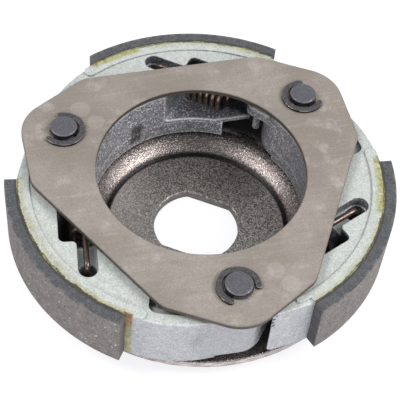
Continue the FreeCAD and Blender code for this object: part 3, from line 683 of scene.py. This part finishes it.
def spring_steel():
    """Oiled brown wire."""
    p = Paint("spring_steel")
    fine = p.noise(1700.0, 3.0, 0.6)
    broad = p.noise(300.0, 3.0, 0.6, seed=5.0)
    tone = p.coats(
        p.blotchy(fine, 0.3, 0.7, (86, 71, 66), (130, 113, 106)),
        (broad, 0.52, 0.75, 0.5, (66, 55, 52)),
    )
    rough = p.span(broad, 0.3, 0.8, 0.26, 0.38)
    return p.finish(tone, rough, p.bump(fine, 0.3, 0.05 * MM), metallic=0.85)


def damper_rubber():
    p = Paint("damper_rubber")
    fine = p.noise(900.0, 3.0, 0.6)
    tone = p.blotchy(fine, 0.3, 0.7, (28, 28, 29), (48, 48, 50))
    return p.finish(tone, p.span(fine, 0.3, 0.8, 0.6, 0.78), p.bump(fine, 0.35, 0.1 * MM), specular=0.35)


def stud_steel():
    p = Paint("stud_steel")
    fine = p.noise(1500.0, 3.0, 0.6)
    tone = p.blotchy(fine, 0.3, 0.7, (128, 124, 118), (160, 155, 148))
    return p.finish(tone, p.span(fine, 0.3, 0.8, 0.35, 0.5), p.bump(fine, 0.3, 0.05 * MM), metallic=0.7)


def dress(name, material):
    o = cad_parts[name]
    o.data.materials.clear()
    o.data.materials.append(material)


dress("side_plate", side_plate_steel())
dress("drive_plate", drive_plate_steel())
shared = {
    "pivot_pin": pin_steel(),
    "retaining_ring": ring_steel(),
    "spring": spring_steel(),
    "damper": damper_rubber(),
    "damper_stud": stud_steel(),
}
for k in range(SHOES):
    number = "_" + str(k + 1)
    dress("shoe" + number, cast_aluminium(k))
    dress("lining" + number, lining_compound(k))
    for part_name, material in shared.items():
        dress(part_name + number, material)


# adhesive squeezed out along each lining

def glue_line(k, material):
    """An uneven fillet of adhesive over the joint between a shoe and its lining."""
    rnd = random.Random(40 + k)
    steps = 220
    turn = math.radians(PITCH * k)
    centre = Vector((-ARC_OFF * math.sin(turn), ARC_OFF * math.cos(turn), 0))
    base = RIM_Z - 0.05 * MM
    verts, faces = [], []
    drift = 0.0
    for i in range(steps + 1):
        a = math.radians(LINING_FROM + (LINING_TO - LINING_FROM) * i / steps + PITCH * k)
        outwards = Vector((math.cos(a), math.sin(a), 0))
        drift = 0.8 * drift + rnd.uniform(-0.16, 0.16)
        inner = BODY_R - (0.28 + 0.9 * abs(drift)) * MM
        outer = LINING_IN + (0.10 + 0.25 * abs(drift)) * MM
        crest = RIM_Z + (0.07 + 0.10 * rnd.random()) * MM
        section = (
            (inner, base),
            (inner + 0.14 * MM, crest - 0.02 * MM),
            ((inner + outer) / 2, crest + 0.03 * MM),
            (outer - 0.1 * MM, crest - 0.02 * MM),
            (outer, base),
        )
        for radius, level in section:
            at = centre + outwards * radius
            verts.append((at.x, at.y, level))
    sides = len(section)
    for i in range(steps):
        for j in range(sides):
            a, b = i * sides + j, i * sides + (j + 1) % sides
            faces.append((a, b, b + sides, a + sides))
    last = steps * sides
    faces.append(tuple(range(sides)))
    faces.append(tuple(last + j for j in reversed(range(sides))))
    name = "glue_line_" + str(k + 1)
    mesh = bpy.data.meshes.new(name)
    mesh.from_pydata(verts, [], faces)
    mesh.update()
    for f in mesh.polygons:
        f.use_smooth = True
    mesh.materials.append(material)
    o = bpy.data.objects.new(name, mesh)
    bpy.context.scene.collection.objects.link(o)
    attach(o, "shoe_arm_" + str(k + 1))


glue = adhesive()
for k in range(SHOES):
    glue_line(k, glue)


# floor

def shader_tree(owner, output_kind):
    """An empty node tree with its output node."""
    owner.use_nodes = True
    tree = owner.node_tree
    tree.nodes.clear()
    return tree, tree.nodes.new(output_kind)


def coloured(tree, kind, colour, strength=None):
    n = tree.nodes.new(kind)
    n.inputs["Color"].default_value = (*colour, 1)
    if strength is not None:
        n.inputs["Strength"].default_value = strength
    return n


def seen_or_lit(tree, out, for_light, for_camera):
    """One shader for the light that the surface gives back, another for what the camera sees of it."""
    path = tree.nodes.new("ShaderNodeLightPath")
    choice = tree.nodes.new("ShaderNodeMixShader")
    tree.links.new(path.outputs["Is Camera Ray"], choice.inputs[0])
    tree.links.new(for_light.outputs[0], choice.inputs[1])
    tree.links.new(for_camera.outputs[0], choice.inputs[2])
    tree.links.new(choice.outputs[0], out.inputs[0])


FLOOR_HALF = 3.0
FLOOR_DROP = 0.05 * MM              # keeps the floor clear of the hub's back face
corners = [(-FLOOR_HALF, -FLOOR_HALF, 0), (FLOOR_HALF, -FLOOR_HALF, 0),
           (FLOOR_HALF, FLOOR_HALF, 0), (-FLOOR_HALF, FLOOR_HALF, 0)]
floor_mesh = bpy.data.meshes.new("floor")
floor_mesh.from_pydata(corners, [], [(0, 1, 2, 3)])
floor = bpy.data.objects.new("floor", floor_mesh)
floor.location.z = -FLOOR_DROP
bpy.context.scene.collection.objects.link(floor)
floor_white = bpy.data.materials.new("floor_white")
nt, out = shader_tree(floor_white, "ShaderNodeOutputMaterial")
both = nt.nodes.new("ShaderNodeAddShader")
nt.links.new(coloured(nt, "ShaderNodeBsdfDiffuse", (0.27, 0.26, 0.29)).outputs[0], both.inputs[0])
nt.links.new(coloured(nt, "ShaderNodeEmission", (1, 1, 1), 0.80).outputs[0], both.inputs[1])
seen_or_lit(nt, out, coloured(nt, "ShaderNodeBsdfDiffuse", (0.86, 0.86, 0.88)), both)
floor_mesh.materials.append(floor_white)


# light

world = bpy.data.worlds.new("studio")
bpy.context.scene.world = world
nt, out = shader_tree(world, "ShaderNodeOutputWorld")
sky = coloured(nt, "ShaderNodeBackground", (0.93, 0.95, 1.0), 0.48)
backdrop = coloured(nt, "ShaderNodeBackground", (0.8, 0.8, 0.8), 1.0)
seen_or_lit(nt, out, sky, backdrop)
LIGHT_AIM = Vector((0, 0, 20.0 * MM))


def softbox(name, at, width, height, power):
    light = bpy.data.lights.new(name, "AREA")
    light.shape = "RECTANGLE"
    light.size = width
    light.size_y = height
    light.energy = power
    o = bpy.data.objects.new(name, light)
    o.location = at
    o.rotation_euler = (LIGHT_AIM - Vector(at)).to_track_quat("-Z", "Y").to_euler()
    bpy.context.scene.collection.objects.link(o)


softbox("softbox_right", (1.025, -0.373, 1.170), 0.70, 0.70, 15.2)
softbox("softbox_left", (-0.868, 0.153, 1.214), 0.55, 0.55, 9.0)
softbox("fill_front", (-0.05, -0.95, 0.42), 0.90, 0.40, 3.0)
softbox("glint_left", (-0.75, -0.62, 0.42), 0.16, 0.16, 0.9)


# the camera stands where the photograph was taken from
CAMERA_TURN = math.radians(18.17)
CAMERA_HEIGHT_ANGLE = math.radians(51.995)
CAMERA_ROLL = math.radians(5.904)
CAMERA_AWAY = 0.442301              # from the middle of the picture to the camera
CAMERA_RIGHT = 0.001273             # the clutch stands this far off the middle of the picture
CAMERA_UP = 0.007459
CAMERA_LENS = 112.626
SENSOR = 36.0
AIM_Z = 4.9 * MM

back = Vector((0, -math.cos(CAMERA_HEIGHT_ANGLE), math.sin(CAMERA_HEIGHT_ANGLE)))
level_right = Vector((1, 0, 0))
level_up = back.cross(level_right)
right = level_right * math.cos(CAMERA_ROLL) + level_up * math.sin(CAMERA_ROLL)
up = level_up * math.cos(CAMERA_ROLL) - level_right * math.sin(CAMERA_ROLL)
spin = Matrix.Rotation(-CAMERA_TURN, 3, "Z")
place = spin @ (back * CAMERA_AWAY + right * CAMERA_RIGHT + up * CAMERA_UP)
place.z += AIM_Z
axes = Matrix((spin @ right, spin @ up, spin @ back)).transposed()
cam_data = bpy.data.cameras.new("camera")
cam_data.sensor_width = SENSOR
cam_data.lens = CAMERA_LENS
cam_data.clip_start = 0.01
cam = bpy.data.objects.new("camera", cam_data)
cam.matrix_world = Matrix.Translation(place) @ axes.to_4x4()
bpy.context.scene.collection.objects.link(cam)
bpy.context.scene.camera = cam
bpy.context.scene.view_settings.view_transform = "Standard"
